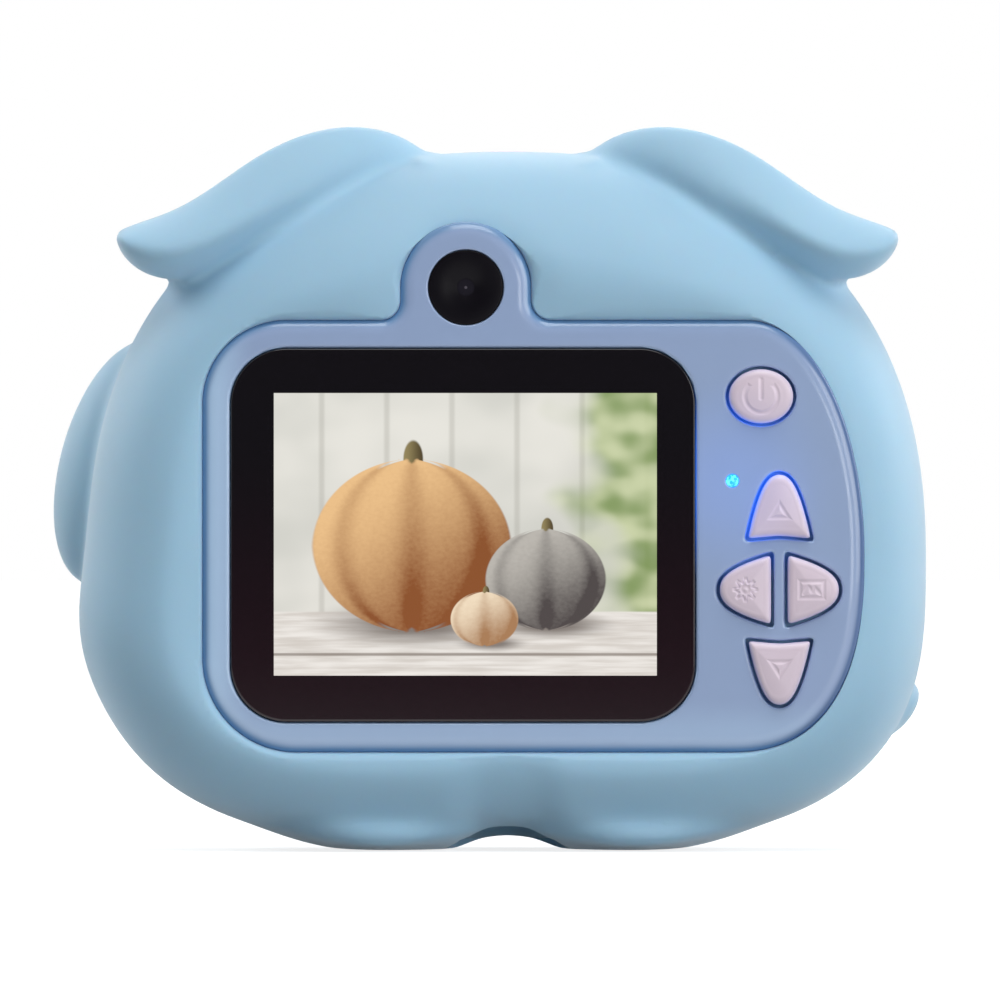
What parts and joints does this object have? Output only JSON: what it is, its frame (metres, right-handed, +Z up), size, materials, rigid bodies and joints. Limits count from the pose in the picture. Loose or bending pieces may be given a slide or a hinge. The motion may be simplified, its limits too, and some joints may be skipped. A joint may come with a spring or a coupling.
{
  "type": "kids digital camera",
  "caption": "Kids digital camera with a rear screen, press keys and a small rear lens, held in a soft animal-shaped silicone sleeve with drooping ears, feet and a snout round the main lens.",
  "frame": {"origin": "bottom centre of the whole camera, on the surface that its feet stand on", "axes": "+X to the right as the screen is seen, +Y from the screen towards the main lens, +Z up"},
  "size_m": [0.0938, 0.0397, 0.0777],
  "materials": {
    "silicone": "soft matte",
    "panel_plastic": "gloss",
    "case_plastic": "satin",
    "key_plastic": "satin",
    "black_acrylic": "polished",
    "black_plastic": "matte",
    "display": "lit",
    "lens_glass": "polished",
    "led_lens": "clear",
    "circuit_board": "satin",
    "steel": "plated",
    "battery_wrap": "satin film",
    "ribbon_film": "satin",
    "red_insulation": "satin",
    "black_insulation": "satin"
  },
  "bodies": {
    "camera_body": {"silicone_sleeve": "silicone", "rear_case": "panel_plastic", "front_case": "case_plastic", "screen_window": "black_acrylic", "lcd_panel": "display", "lcd_backlight": "steel", "selfie_window": "black_acrylic", "selfie_barrel": "black_plastic", "selfie_board": "circuit_board", "selfie_ribbon": "ribbon_film", "power_switch": "black_plastic", "up_switch": "black_plastic", "down_switch": "black_plastic", "left_switch": "black_plastic", "right_switch": "black_plastic", "shutter_switch": "black_plastic", "shutter_board": "circuit_board", "main_board": "circuit_board", "main_chip": "black_plastic", "microphone": "steel", "status_led": "led_lens", "led_light_pipe": "led_lens", "usb_socket": "steel", "card_socket": "steel", "front_lens_ring": "steel", "front_lens_glass": "lens_glass", "front_lens_barrel": "black_plastic", "front_sensor": "black_plastic", "front_sensor_board": "circuit_board", "front_camera_ribbon": "ribbon_film", "battery": "battery_wrap", "battery_lead_red": "red_insulation", "battery_lead_black": "black_insulation", "speaker": "black_plastic", "case_screw_1": "steel", "case_screw_2": "steel", "case_screw_3": "steel", "case_screw_4": "steel", "board_screw_1": "steel", "board_screw_2": "steel", "board_screw_3": "steel", "board_screw_4": "steel"},
    "power_key": {"power_key": "key_plastic"},
    "up_key": {"up_key": "key_plastic"},
    "down_key": {"down_key": "key_plastic"},
    "left_key": {"left_key": "key_plastic"},
    "right_key": {"right_key": "key_plastic"},
    "shutter_key": {"shutter_key": "key_plastic"}
  },
  "joints": [
    {"name": "power_press", "type": "slide", "parent": "camera_body", "child": "power_key", "axis": [0, 1, 0], "range_m": [0, 0.0005], "stiffness_N_per_m": 300, "springref_m": -0.0005},
    {"name": "up_press", "type": "slide", "parent": "camera_body", "child": "up_key", "axis": [0, 1, 0], "range_m": [0, 0.0005], "stiffness_N_per_m": 300, "springref_m": -0.0005},
    {"name": "down_press", "type": "slide", "parent": "camera_body", "child": "down_key", "axis": [0, 1, 0], "range_m": [0, 0.0005], "stiffness_N_per_m": 300, "springref_m": -0.0005},
    {"name": "left_press", "type": "slide", "parent": "camera_body", "child": "left_key", "axis": [0, 1, 0], "range_m": [0, 0.0005], "stiffness_N_per_m": 300, "springref_m": -0.0005},
    {"name": "right_press", "type": "slide", "parent": "camera_body", "child": "right_key", "axis": [0, 1, 0], "range_m": [0, 0.0005], "stiffness_N_per_m": 300, "springref_m": -0.0005},
    {"name": "shutter_press", "type": "slide", "parent": "camera_body", "child": "shutter_key", "axis": [0, 0, -1], "range_m": [0, 0.0008], "stiffness_N_per_m": 400, "springref_m": -0.0008}
  ]
}
